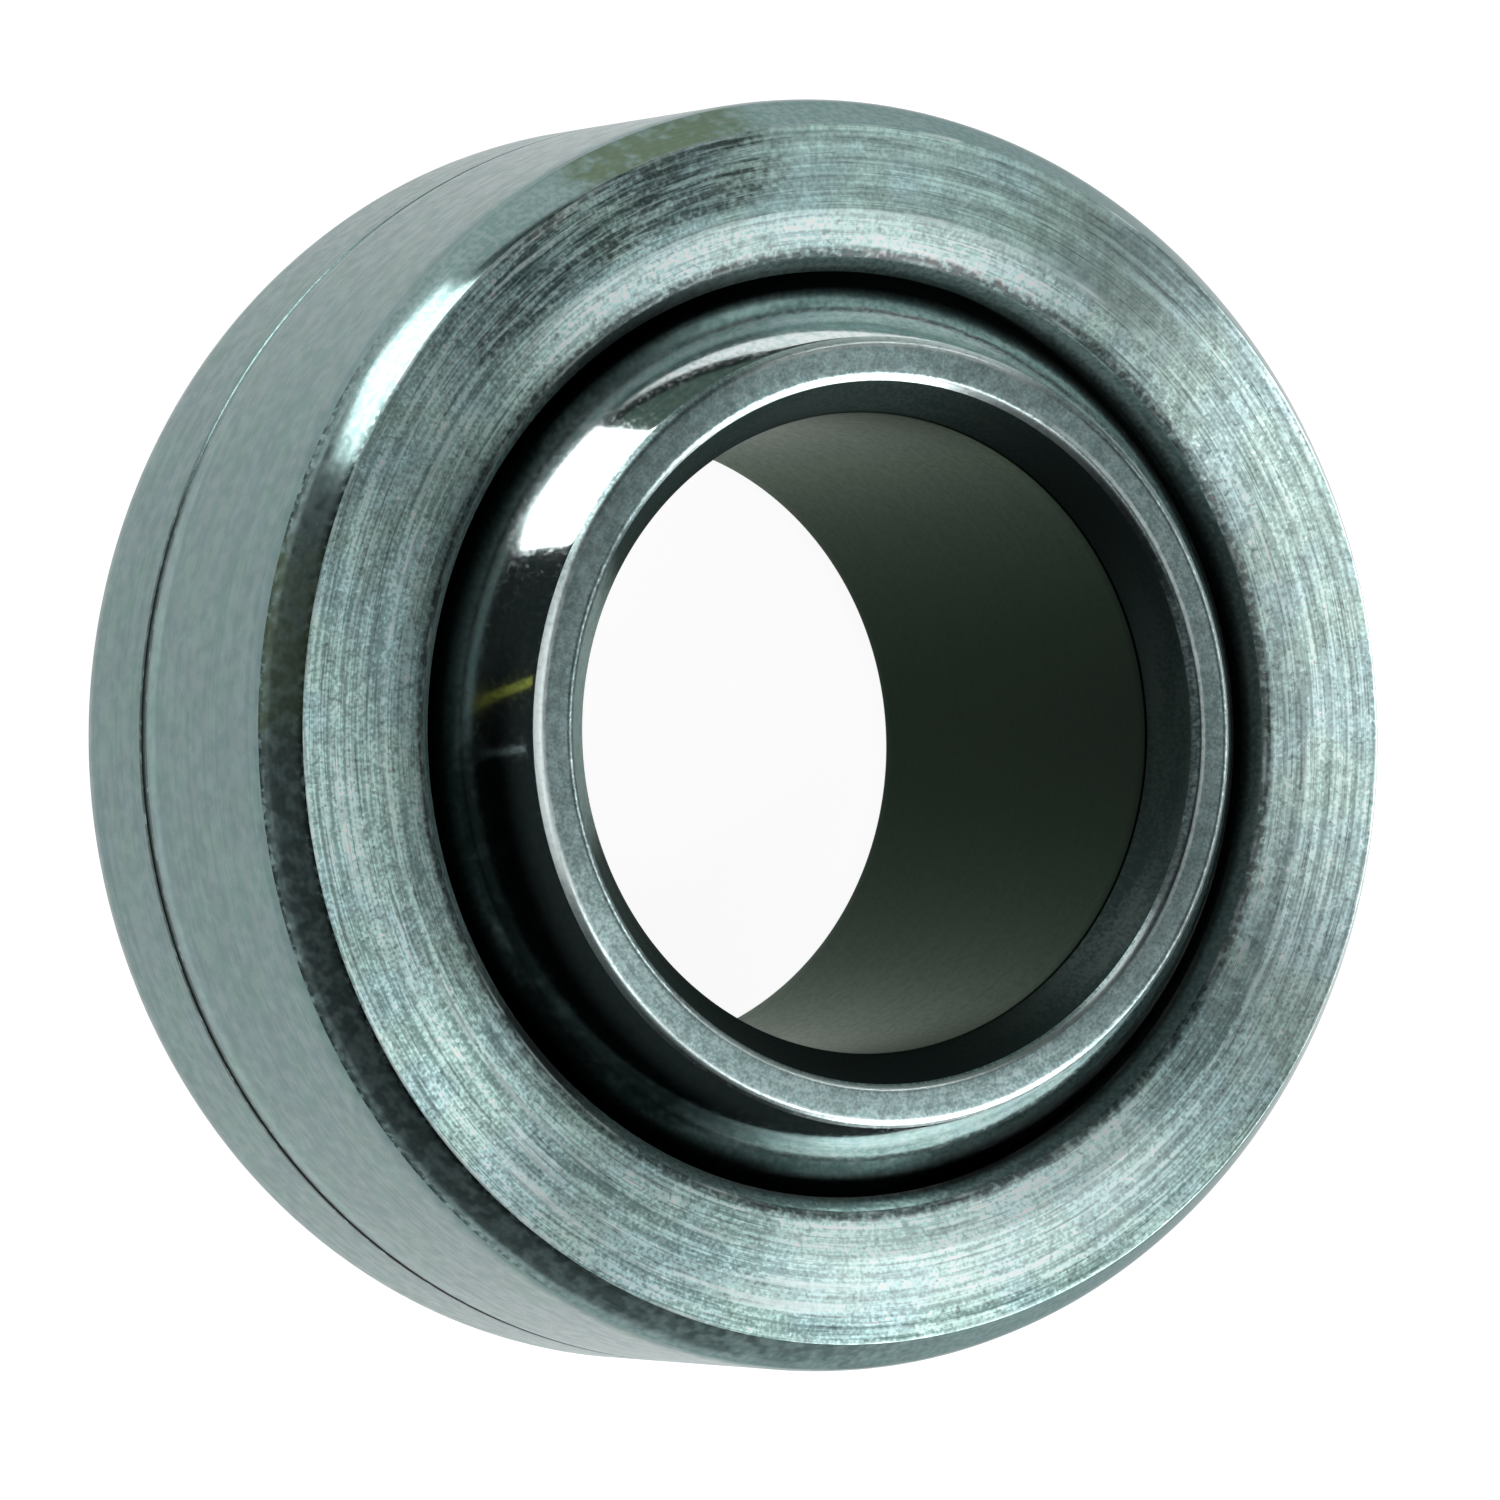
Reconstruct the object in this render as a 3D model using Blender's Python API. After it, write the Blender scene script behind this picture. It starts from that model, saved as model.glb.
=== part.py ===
"""Spherical plain bearing: a ball with a bore, held in the spherical seat of a one-piece outer race.

Metres, +Z up. The bearing axis is +Z and the origin is the centre of the ball.
The bearing stands on the rear end face of its ball, and +Z is its front.
"""

import math

import bmesh
import bpy

MM = 0.001

# Ball, the inner ring that a bolt or pin goes through; its land is the flat ring of each end face.
# The sphere is drawn through the outer edges of the end faces, and comes to 20.0 mm across.
BORE_DIAMETER = 12.70 * MM
BALL_WIDTH = 12.70 * MM
BALL_LAND = 0.632 * MM
BORE_CHAMFER_RADIAL = 0.60 * MM
BORE_CHAMFER_AXIAL = 0.78 * MM
EDGE_BREAK = 0.12 * MM

# Outer race, the ring that is pressed into a housing; its wall is measured where the seat is widest.
# The outside comes to 25.4 mm across.
RACE_WALL = 2.60 * MM
RACE_WIDTH = 9.90 * MM
RACE_CHAMFER_RADIAL = 0.59 * MM
RACE_CHAMFER_AXIAL = 0.94 * MM

# Front and rear faces of the race: a flat land outside and a shallow dish left by the swaging inside
DISH_WIDTH = 0.90 * MM
DISH_DEPTH = 0.07 * MM
HOLE_CHAMFER_RADIAL = 0.30 * MM
HOLE_CHAMFER_AXIAL = 0.40 * MM

# Seat in the race: a running gap to the ball, wider at its two mouths
SEAT_CLEARANCE = 0.10 * MM
MOUTH_GAP = 0.28 * MM
MOUTH_DEPTH = 0.80 * MM

# Fine line turned round the outside, behind the middle
LINE_POSITION = -1.30 * MM
LINE_WIDTH = 0.16 * MM
LINE_DEPTH = 0.08 * MM

# Facets
SEGMENTS = 96
BALL_STEPS = 20
SEAT_STEPS = 12
SHARP_ANGLE = math.radians(14)

# Radius of the sphere, through the edge where the broken outer edge of an end face meets it
BALL_EDGE_RADIUS = BORE_DIAMETER / 2 + BORE_CHAMFER_RADIAL + BALL_LAND + 2 * EDGE_BREAK
BALL_RADIUS = math.hypot(BALL_EDGE_RADIUS, BALL_WIDTH / 2 - EDGE_BREAK)

STEEL = {"name": "turned_steel", "color": (0.36, 0.43, 0.42), "roughness": 0.38}
POLISHED = {"name": "polished_steel", "color": (0.55, 0.60, 0.60), "roughness": 0.10}


def clear_scene():
    """Remove every object that the scene holds."""
    for obj in list(bpy.data.objects):
        bpy.data.objects.remove(obj, do_unlink=True)


def metal(finish):
    """Make a plain metal material from a finish."""
    material = bpy.data.materials.new(finish["name"])
    material.use_nodes = True
    shader = material.node_tree.nodes["Principled BSDF"]
    shader.inputs["Base Color"].default_value = (*finish["color"], 1.0)
    shader.inputs["Metallic"].default_value = 1.0
    shader.inputs["Roughness"].default_value = finish["roughness"]
    return material


def sphere_radius_at(radius, z):
    """Distance from the axis of a sphere's surface at height z."""
    return math.sqrt(radius**2 - z**2)


def sphere_arc(radius, z_start, z_end, steps):
    """Points (r, z) on a sphere from one height to another, evenly spaced by angle."""
    start = math.asin(z_start / radius)
    end = math.asin(z_end / radius)
    angles = [start + (end - start) * i / steps for i in range(steps + 1)]
    return [(radius * math.cos(a), radius * math.sin(a)) for a in angles]


def mirrored(points):
    """The same points on the other side of the bearing, in the order that continues the outline."""
    return [(r, -z) for r, z in reversed(points)]


def turn(name, outline, finish):
    """Turn a closed outline of (r, z) points round the bearing axis into one named solid."""
    bm = bmesh.new()
    verts = [bm.verts.new((r, 0.0, z)) for r, z in outline]
    edges = [bm.edges.new((verts[i - 1], verts[i])) for i in range(len(verts))]
    bmesh.ops.spin(
        bm,
        geom=verts + edges,
        cent=(0.0, 0.0, 0.0),
        axis=(0.0, 0.0, 1.0),
        angle=2.0 * math.pi,
        steps=SEGMENTS,
        use_merge=True,
    )
    bmesh.ops.recalc_face_normals(bm, faces=bm.faces)
    mesh = bpy.data.meshes.new(name)
    bm.to_mesh(mesh)
    bm.free()
    mesh.shade_smooth()
    mesh.set_sharp_from_angle(angle=SHARP_ANGLE)
    mesh.materials.append(metal(finish))
    obj = bpy.data.objects.new(name, mesh)
    bpy.context.scene.collection.objects.link(obj)
    return obj


def ball_outline():
    """Outline of the ball: sphere, two end faces with broken edges, and a bore with chamfered mouths."""
    face_z = BALL_WIDTH / 2
    bore = BORE_DIAMETER / 2
    mouth = bore + BORE_CHAMFER_RADIAL
    land_inner = mouth + EDGE_BREAK
    land_outer = land_inner + BALL_LAND
    front = [
        (land_outer, face_z),
        (land_inner, face_z),
        (mouth, face_z - EDGE_BREAK),
        (bore, face_z - EDGE_BREAK - BORE_CHAMFER_AXIAL),
    ]
    sphere_end = face_z - EDGE_BREAK
    sphere = sphere_arc(BALL_RADIUS, -sphere_end, sphere_end, BALL_STEPS)
    return sphere + front + mirrored(front)


def race_outline():
    """Outline of the race: chamfered outside with its fine line, dished faces and the spherical seat."""
    seat = BALL_RADIUS + SEAT_CLEARANCE
    outside = seat + RACE_WALL
    face_z = RACE_WIDTH / 2
    dish_z = face_z - DISH_DEPTH
    mouth_z = dish_z - HOLE_CHAMFER_AXIAL
    mouth = sphere_radius_at(BALL_RADIUS, mouth_z) + MOUTH_GAP
    hole = mouth + HOLE_CHAMFER_RADIAL
    seat_end = mouth_z - MOUTH_DEPTH
    line = [
        (outside, LINE_POSITION - LINE_WIDTH / 2),
        (outside - LINE_DEPTH, LINE_POSITION),
        (outside, LINE_POSITION + LINE_WIDTH / 2),
    ]
    front = [
        (outside, face_z - RACE_CHAMFER_AXIAL),
        (outside - RACE_CHAMFER_RADIAL, face_z),
        (hole + DISH_WIDTH, face_z),
        (hole, dish_z),
        (mouth, mouth_z),
    ]
    return line + front + sphere_arc(seat, seat_end, -seat_end, SEAT_STEPS) + mirrored(front)


def main():
    clear_scene()
    turn("outer_race", race_outline(), STEEL)
    turn("ball", ball_outline(), POLISHED)


main()
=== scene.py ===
"""Looks of a spherical plain bearing: a turned steel race, a polished ball, and the studio round them.

Metres, in the frame of the packed model: +Z is the bearing axis and the origin is the ball's centre.
"""

import math

import bpy
from bpy.props import FloatProperty, FloatVectorProperty, IntProperty, PointerProperty
from mathutils import Matrix, Vector


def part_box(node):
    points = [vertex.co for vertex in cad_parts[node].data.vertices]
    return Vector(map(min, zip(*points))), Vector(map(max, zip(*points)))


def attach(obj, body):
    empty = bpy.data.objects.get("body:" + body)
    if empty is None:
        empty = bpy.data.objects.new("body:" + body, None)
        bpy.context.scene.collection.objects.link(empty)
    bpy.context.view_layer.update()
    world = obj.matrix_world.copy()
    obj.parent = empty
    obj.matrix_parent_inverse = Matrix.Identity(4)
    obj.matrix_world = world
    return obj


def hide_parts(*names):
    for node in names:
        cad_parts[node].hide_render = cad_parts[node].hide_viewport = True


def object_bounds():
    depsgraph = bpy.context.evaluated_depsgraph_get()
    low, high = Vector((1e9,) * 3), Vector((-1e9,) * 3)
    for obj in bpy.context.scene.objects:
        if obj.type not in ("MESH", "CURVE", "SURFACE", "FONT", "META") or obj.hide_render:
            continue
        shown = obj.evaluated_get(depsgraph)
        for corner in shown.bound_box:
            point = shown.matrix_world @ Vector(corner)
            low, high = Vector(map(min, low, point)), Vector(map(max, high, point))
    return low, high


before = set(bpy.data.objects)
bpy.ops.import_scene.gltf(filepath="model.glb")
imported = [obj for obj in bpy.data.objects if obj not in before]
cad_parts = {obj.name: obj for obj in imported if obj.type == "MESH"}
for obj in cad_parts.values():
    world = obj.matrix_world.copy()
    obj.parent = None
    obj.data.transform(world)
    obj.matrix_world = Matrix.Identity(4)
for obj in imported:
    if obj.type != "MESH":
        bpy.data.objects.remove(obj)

bl_info = {
    "name": "Spherical Plain Bearing",
    "version": (1, 0, 0),
    "blender": (4, 5, 0),
    "location": "3D View > Sidebar > Bearing",
    "description": "Dresses a spherical plain bearing in turned, ground and polished steel",
    "category": "Object",
}

MM = 0.001
CAD_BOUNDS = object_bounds()
_, RACE_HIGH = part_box("outer_race")
_, BALL_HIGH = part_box("ball")
RACE_NAME = "turned_race"
BALL_NAME = "polished_ball"

CAMERA_RIGHT = Vector((0.8844, 0.0, 0.4667)).normalized()
CAMERA_BACK = CAMERA_RIGHT.cross(Vector((-0.0106, 0.9997, 0.0201))).normalized()

# Steps of the long arcs, the rounded corners and the floor's edge, and the longest undivided stretch
SEAT_STEPS = 48
SPHERE_STEPS = 96
CORNER_STEPS = 4
FLOOR_STEPS = 96
LONGEST_STRETCH = 0.25 * MM

# Azimuth and half angle of the side of the race where shade is painted in and beside the fine line, with a
# painted highlight band near it
PAINTED_LIGHT_SIDE = (203.0, 50.0)

# How far the marks of the steel swing its roughness, and its red beyond its other colours
ROUGHNESS_SWING = 0.12
EXTRA_RED_SWING = 0.06

# Sockets of the Mix node for colours
MIX_FACTOR, MIX_A, MIX_B, MIX_RESULT = 0, 6, 7, 2

FLOAT = "NodeSocketFloat"


def length(name, description, default):
    """A size that the user can change, in metres."""
    return FloatProperty(
        name=name, description=description, default=default, unit="LENGTH", precision=6
    )


def share(name, description, default):
    """A value from 0 to 1 that the user can change."""
    return FloatProperty(
        name=name, description=description, default=default, min=0.0, max=1.0, subtype="FACTOR"
    )


def colour(name, description, default):
    """A colour that the user can change, in linear values."""
    return FloatVectorProperty(
        name=name, description=description, default=default, min=0.0, max=1.0, subtype="COLOR"
    )


class RaceSizes(bpy.types.PropertyGroup):
    """Sizes of the outer race's turned profile."""

    outside: length("Outside radius", "Radius of the ground outside", RACE_HIGH.x)
    half_width: length("Half width", "From the middle to a face", RACE_HIGH.z)
    chamfer_radial: length("Chamfer, radial", "Chamfer of the outside, across", 0.59 * MM)
    chamfer_axial: length("Chamfer, axial", "Chamfer of the outside, along the axis", 0.94 * MM)
    dish_outer: length("Dish radius", "Where the shallow dish of each face begins", 10.42 * MM)
    dish_depth: length("Dish depth", "How far the dish falls to the hole", 0.12 * MM)
    face_fall: length("Face fall", "How far a face falls from the dish to the chamfer", 0.03 * MM)
    hole: length("Hole radius", "Edge of the hole that the ball shows in", 9.52 * MM)
    lip_radial: length("Lip, radial", "Chamfer of the hole, across", 0.30 * MM)
    lip_axial: length("Lip, axial", "Chamfer of the hole, along the axis", 0.40 * MM)
    mouth_depth: length("Mouth depth", "Length of the relieved mouth of the seat", 0.80 * MM)
    seat: length("Seat radius", "Radius of the spherical seat", 10.10 * MM)
    line_place: length("Line place", "Height of the fine line turned round the outside", -1.30 * MM)
    line_width: length("Line width", "Width of that line", 0.16 * MM)
    line_depth: length("Line depth", "Depth of that line", 0.08 * MM)
    corner_round: length("Corner round", "Radius between the outside and a chamfer", 0.32 * MM)
    hole_round: length("Hole round", "Radius of the edge of the hole", 0.11 * MM)
    edge_round: length("Edge round", "Radius of the other edges", 0.03 * MM)


class BallSizes(bpy.types.PropertyGroup):
    """Sizes of the ball's turned profile."""

    radius: length("Sphere radius", "Radius of the polished sphere", 10.0 * MM)
    half_width: length("Half width", "From the middle to an end face", BALL_HIGH.z)
    bore: length("Bore radius", "Radius of the bore", 6.35 * MM)
    mouth_radial: length("Bore mouth, radial", "Chamfer of the bore, across", 0.60 * MM)
    mouth_axial: length("Bore mouth, axial", "Chamfer of the bore, along the axis", 0.78 * MM)
    edge_break: length("Edge break", "Broken edges of each end face", 0.12 * MM)
    edge_round: length("Edge round", "Radius of the edges", 0.06 * MM)


class Finishes(bpy.types.PropertyGroup):
    """Colours and finish of the steel."""

    ground: colour("Ground steel", "Steel of the race's outside", (0.150, 0.228, 0.224))
    turned: colour("Turned steel", "Steel of the race's faces", (0.53, 0.73, 0.72))
    chamfer: colour("Chamfer steel", "Steel of the race's chamfers", (0.19, 0.27, 0.265))
    seat: colour("Seat steel", "Steel of the hole's lip and the seat", (0.110, 0.157, 0.152))
    polished: colour("Polished steel", "Steel of the sphere", (0.58, 0.66, 0.655))
    lapped: colour("Lapped steel", "Steel of the ball's end faces", (0.34, 0.46, 0.46))
    bore: colour("Bore", "Dark steel of the bore", (0.0007, 0.0009, 0.0006))
    mouth: colour("Mouth", "Dark steel of the bore's chamfered mouths", (0.030, 0.045, 0.042))
    # Colour of the painted shade on the sphere next to the race
    gap_shade: colour("Grime", "Old grease on the sphere, near the race", (0.015, 0.020, 0.020))
    # Colour of painted olive reflections in two narrow spots on the chamfers
    olive_reflection: colour("Oil film", "Olive oil film on the chamfers", (0.095, 0.130, 0.065))
    # Colour of the painted shade in and beside the fine line, on one side of the race
    line_shade: colour("Old oil", "Dark oil in and beside the fine line", (0.026, 0.042, 0.038))
    # Colour of an olive painted reflection at the top and bottom of the bore
    bore_reflection: colour("Bore film", "Olive film at the top and bottom of the bore", (0.010, 0.011, 0.004))
    # Colour of edges worn shiny with a painted highlight, and of painted highlights on the faces and the
    # ball's end faces
    bright: colour("Bright steel", "Steel that is worn bright", (0.86, 0.98, 0.97))
    # Whiter tint painted on the right side of the race's faces, where their highlight falls
    white: colour("White steel", "Clean part of the race's faces", (0.68, 0.71, 0.705))
    # Colour of a painted highlight on the edge of the hole's lip, at the lower right
    lip_highlight: colour("Lip edge", "Worn edge of the hole's lip", (0.62, 0.58, 0.56))
    # Colour of a painted highlight on the bore's mouths, at the left
    mouth_highlight: colour("Rubbed steel", "Bore's mouth where it is rubbed clean", (0.33, 0.44, 0.42))
    ground_roughness: share("Ground roughness", "Roughness of the race's outside", 0.28)
    turned_roughness: share("Turned roughness", "Roughness of the race's faces", 0.447)
    chamfer_roughness: share("Chamfer roughness", "Roughness of the chamfers", 0.12)
    oily_roughness: share("Oily roughness", "Roughness of a chamfer under dried oil", 0.34)
    seat_roughness: share("Seat roughness", "Roughness of the lip and the seat", 0.50)
    polished_roughness: share("Polished roughness", "Roughness of the sphere", 0.06)
    lapped_roughness: share("Lapped roughness", "Roughness of the end faces", 0.34)
    bore_roughness: share("Bore roughness", "Roughness of the bore", 0.32)
    mouth_roughness: share("Mouth roughness", "Roughness of the bore's mouths", 0.50)
    greasy_roughness: share("Greasy roughness", "Roughness of the sphere under old grease", 0.16)


class Studio(bpy.types.PropertyGroup):
    """Camera, floor, lamps and cards."""

    distance: length("Camera distance", "From the camera to the middle of the bearing", 203.2 * MM)
    lens: FloatProperty(name="Lens", description="Focal length in millimetres", default=240.26)
    shift_x: FloatProperty(name="Shift, across", description="Camera's shift sideways", default=0.00667)
    shift_y: FloatProperty(name="Shift, up", description="Camera's shift upwards", default=-0.00773)
    floor_radius: length("Floor radius", "Radius of the round floor", 75.0 * MM)
    floor_shift: length("Floor shift", "How far the floor's middle lies towards +Y", 28.0 * MM)
    world_level: share("World level", "Strength of the pale surroundings", 1.0)
    floor_glow: share("Floor glow", "Share of the floor's white that no shadow takes away", 0.93)
    floor_colour: share("Floor colour", "Share of the floor's white that takes the shadow", 0.25)
    segments: IntProperty(name="Segments", description="Facets round the turned pieces", default=480)


SIZE_GROUPS = {
    "bearing_race": RaceSizes,
    "bearing_ball": BallSizes,
    "bearing_finish": Finishes,
    "bearing_studio": Studio,
}


def arc(radius, start, end, steps):
    """Points (r, z) on a circle round the origin, from one angle to another."""
    angles = [start + (end - start) * i / steps for i in range(steps + 1)]
    return [(radius * math.cos(a), radius * math.sin(a)) for a in angles]


def rounded(points, radii):
    """A line of (r, z) points with its inner corners replaced by small curves of the given radii."""
    out = [points[0]]
    for before, here, after, radius in zip(points, points[1:], points[2:], radii[1:]):
        a, b, c = Vector(before), Vector(here), Vector(after)
        reach = min(radius, (a - b).length * 0.45, (c - b).length * 0.45)
        start = b + (a - b).normalized() * reach
        end = b + (c - b).normalized() * reach
        for i in range(CORNER_STEPS + 1):
            t = i / CORNER_STEPS
            out.append(tuple(start * (1 - t) ** 2 + b * 2 * t * (1 - t) + end * t**2))
    out.append(points[-1])
    return out


def divided(points, longest):
    """The same line with its long stretches cut into shorter ones."""
    out = [points[0]]
    for start, end in zip(points, points[1:]):
        a, b = Vector(start), Vector(end)
        pieces = max(1, math.ceil((b - a).length / longest))
        out += [tuple(a.lerp(b, (i + 1) / pieces)) for i in range(pieces)]
    return out


def mirrored(points):
    """The same points on the other side of the bearing, in the order that continues the outline."""
    return [(r, -z) for r, z in reversed(points)]


def zone_at(point, zones):
    """Number of the first zone whose test holds at a point of the outline."""
    return next(i for i, (_, test) in enumerate(zones) if test(*point))


def placed(name, data):
    """Put a new object with the given data in the scene, and return it."""
    made = bpy.data.objects.new(name, data)
    bpy.context.scene.collection.objects.link(made)
    return made


def turned_piece(name, outline, edges, zones, segments):
    """Turn a closed outline of (r, z) points into one mesh.

    Each zone is a material and a test of (r, |z|), and takes the facets whose middles pass the test.
    The attribute edge_distance holds how far each point lies from the nearest edge of the profile.
    """
    count = len(outline)
    angles = [2 * math.pi * i / segments for i in range(segments)]
    verts = [(r * math.cos(a), r * math.sin(a), z) for a in angles for r, z in outline]
    faces = []
    numbers = []
    middles = [
        ((a[0] + b[0]) / 2, abs(a[1] + b[1]) / 2)
        for a, b in zip(outline, outline[1:] + outline[:1])
    ]
    band_zones = [zone_at(middle, zones) for middle in middles]
    for i in range(segments):
        here, after = i * count, (i + 1) % segments * count
        for j in range(count):
            k = (j + 1) % count
            faces.append((here + j, after + j, after + k, here + k))
            numbers.append(band_zones[j])
    mesh = bpy.data.meshes.new(name)
    mesh.from_pydata(verts, [], faces)
    mesh.polygons.foreach_set("material_index", numbers)
    for material, _ in zones:
        mesh.materials.append(material)
    near = [min(math.dist(point, edge) for edge in edges) for point in outline]
    attribute = mesh.attributes.new("edge_distance", "FLOAT", "POINT")
    attribute.data.foreach_set("value", near * segments)
    mesh.shade_smooth()
    mesh.update()
    return placed(name, mesh)


def feed(tree, node, inputs):
    """Set or link the inputs of a node, and return it."""
    for socket, value in (inputs or {}).items():
        if isinstance(value, bpy.types.NodeSocket):
            tree.links.new(value, node.inputs[socket])
        else:
            node.inputs[socket].default_value = value
    return node


def add(tree, kind, inputs=None, **settings):
    """Add a node, set its settings, and set or link its inputs."""
    made = tree.nodes.new(kind)
    for key, value in settings.items():
        setattr(made, key, value)
    return feed(tree, made, inputs)


def use(tree, name, inputs=None):
    """Place a shared node group in a material or another group."""
    return feed(tree, add(tree, "ShaderNodeGroup", node_tree=bpy.data.node_groups[name]), inputs)


def maths(tree, operation, *values, clamp=False):
    """Add a Math node and return its result."""
    return add(
        tree, "ShaderNodeMath", dict(enumerate(values)), operation=operation, use_clamp=clamp
    ).outputs[0]


def vectors(tree, operation, *values, **named):
    """Add a Vector Math node and return its result, a plain value for a length or a dot product."""
    inputs = dict(enumerate(values)) | named
    made = add(tree, "ShaderNodeVectorMath", inputs, operation=operation)
    return made.outputs["Value" if operation in ("LENGTH", "DOT_PRODUCT") else "Vector"]


def ranged(tree, value, low, high, to_low=0.0, to_high=1.0):
    """Map a value smoothly from one range to another."""
    inputs = {"Value": value, "From Min": low, "From Max": high, "To Min": to_low, "To Max": to_high}
    return add(tree, "ShaderNodeMapRange", inputs, interpolation_type="SMOOTHSTEP").outputs[0]


def with_alpha(colour_or_socket):
    """The value that a colour input takes: a socket as it is, or a colour with its alpha."""
    if isinstance(colour_or_socket, bpy.types.NodeSocket):
        return colour_or_socket
    return (*colour_or_socket, 1.0)


def mixed(tree, factor, a, b, blend="MIX"):
    """Mix two colours."""
    inputs = {MIX_FACTOR: factor, MIX_A: with_alpha(a), MIX_B: with_alpha(b)}
    return add(tree, "ShaderNodeMix", inputs, data_type="RGBA", blend_type=blend).outputs[MIX_RESULT]


def shared(tree, first, second):
    """Mask of what two masks share."""
    return maths(tree, "MULTIPLY", first, second)


def beside(tree, value, middle, whole, gone):
    """Mask of the places beside a middle value, whole up to one distance from it and gone at another."""
    off = maths(tree, "ABSOLUTE", maths(tree, "SUBTRACT", value, middle))
    return ranged(tree, off, whole, gone, 1.0, 0.0)


def noise(tree, where, detail):
    """Value of soft noise at a place, with one cell to a unit."""
    inputs = {"Vector": where, "Scale": 1.0, "Detail": detail}
    return add(tree, "ShaderNodeTexNoise", inputs).outputs[0]


def new_group(name, inputs, outputs):
    """Make a shader node group with its sockets, and return it with its two end nodes."""
    tree = bpy.data.node_groups.new(name, "ShaderNodeTree")
    for socket, default in inputs.items():
        made = tree.interface.new_socket(socket, in_out="INPUT", socket_type=FLOAT)
        made.default_value = default
    for socket, kind in outputs.items():
        tree.interface.new_socket(socket, in_out="OUTPUT", socket_type=kind)
    return tree, tree.nodes.new("NodeGroupInput"), tree.nodes.new("NodeGroupOutput")


def turned_place_group():
    """Where a point lies on a turned piece: round the axis, across, along the profile and in height."""
    tree, _, leave = new_group(
        "Turned place",
        {},
        {"Direction": "NodeSocketVector"} | dict.fromkeys(("Radius", "Along", "Height", "Level"), FLOAT),
    )
    place = add(tree, "ShaderNodeTexCoord").outputs["Object"]
    level = add(tree, "ShaderNodeSeparateXYZ", {0: place}).outputs["Z"]
    flat = vectors(tree, "MULTIPLY", place, (1, 1, 0))
    radius = vectors(tree, "LENGTH", flat)
    outputs = {
        "Direction": vectors(tree, "NORMALIZE", flat),
        "Radius": radius,
        "Along": maths(tree, "SUBTRACT", radius, level),
        "Height": maths(tree, "ABSOLUTE", level),
        "Level": level,
    }
    feed(tree, leave, outputs)


def turning_marks_group():
    """Circular tool marks: fine lines that run round the axis and break off here and there."""
    tree, enter, leave = new_group(
        "Turning marks",
        {"Pitch": 0.1 * MM, "Run": 2.0, "Seed": 0.0},
        {"Marks": FLOAT},
    )
    place = use(tree, "Turned place")
    turned = vectors(tree, "SCALE", place.outputs["Direction"], Scale=enter.outputs["Run"])
    along = maths(tree, "DIVIDE", place.outputs["Along"], enter.outputs["Pitch"])
    lifted = add(tree, "ShaderNodeCombineXYZ", {0: enter.outputs["Seed"], 2: along})
    where = vectors(tree, "ADD", turned, lifted.outputs[0])
    feed(tree, leave, {"Marks": noise(tree, where, detail=2.0)})


def grain_group():
    """Fine speckle of a blasted or lapped surface."""
    tree, enter, leave = new_group(
        "Grain",
        {"Size": 0.1 * MM, "Seed": 0.0},
        {"Grain": FLOAT},
    )
    place = add(tree, "ShaderNodeTexCoord").outputs["Object"]
    scale = maths(tree, "DIVIDE", 1.0, enter.outputs["Size"])
    where = vectors(tree, "MULTIPLY_ADD", place, scale, enter.outputs["Seed"])
    feed(tree, leave, {"Grain": noise(tree, where, detail=1.0)})


def tool_marks(tree, pitch, run, seed):
    """Value of the turning marks at a place."""
    return use(tree, "Turning marks", {"Pitch": pitch, "Run": run, "Seed": seed}).outputs[0]


def edge_band(tree, width):
    """Mask of what lies within a width of an edge of the turned profile, fading away from the edge."""
    near = add(tree, "ShaderNodeAttribute", attribute_name="edge_distance")
    return ranged(tree, near.outputs["Fac"], 0.0, width, 1.0, 0.0)


def edge_wear_group():
    """Burr along the edges of a turned profile, broken up round the axis, worn shiny and given a painted
    highlight.
    """
    tree, enter, leave = new_group(
        "Edge wear",
        {"Width": 0.06 * MM, "Breaks": 0.5, "Seed": 0.0},
        {"Wear": FLOAT},
    )
    band = edge_band(tree, enter.outputs["Width"])
    marks = tool_marks(tree, 1.0, 9.0, enter.outputs["Seed"])
    kept = ranged(tree, marks, enter.outputs["Breaks"], 0.7)
    feed(tree, leave, {"Wear": shared(tree, band, kept)})


def patch_group():
    """Ragged patch round one direction from the axis, between two radii."""
    side = {"X": 1.0, "Y": 0.0, "Far": 0.9, "Near": 0.95}
    band = {"Low": 0.0, "High": 1.0, "Soft": 0.1 * MM, "Ragged": 0.5, "Grain": 0.5}
    tree, enter, leave = new_group("Patch", side | band, {"Patch": FLOAT})
    place = use(tree, "Turned place")
    middle = add(tree, "ShaderNodeCombineXYZ", {0: enter.outputs["X"], 1: enter.outputs["Y"]})
    facing = vectors(tree, "DOT_PRODUCT", place.outputs["Direction"], middle.outputs[0])
    round_axis = ranged(tree, facing, enter.outputs["Far"], enter.outputs["Near"])
    radius = place.outputs["Radius"]
    inner = maths(tree, "SUBTRACT", enter.outputs["Low"], enter.outputs["Soft"])
    outer = maths(tree, "ADD", enter.outputs["High"], enter.outputs["Soft"])
    above = ranged(tree, radius, inner, enter.outputs["Low"])
    below = ranged(tree, radius, enter.outputs["High"], outer, 1.0, 0.0)
    whole = shared(tree, round_axis, shared(tree, above, below))
    rough = maths(tree, "MULTIPLY_ADD", enter.outputs["Grain"], 2.0, -1.0)
    swing = maths(tree, "MULTIPLY", rough, enter.outputs["Ragged"])
    held = maths(tree, "MULTIPLY", swing, maths(tree, "POWER", whole, 0.5))
    feed(tree, leave, {"Patch": maths(tree, "ADD", whole, held, clamp=True)})


GROUP_MAKERS = {
    "Turned place": turned_place_group,
    "Turning marks": turning_marks_group,
    "Grain": grain_group,
    "Edge wear": edge_wear_group,
    "Patch": patch_group,
}


def make_groups():
    """Make each shared node group once."""
    for name, maker in GROUP_MAKERS.items():
        if name not in bpy.data.node_groups:
            maker()


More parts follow.
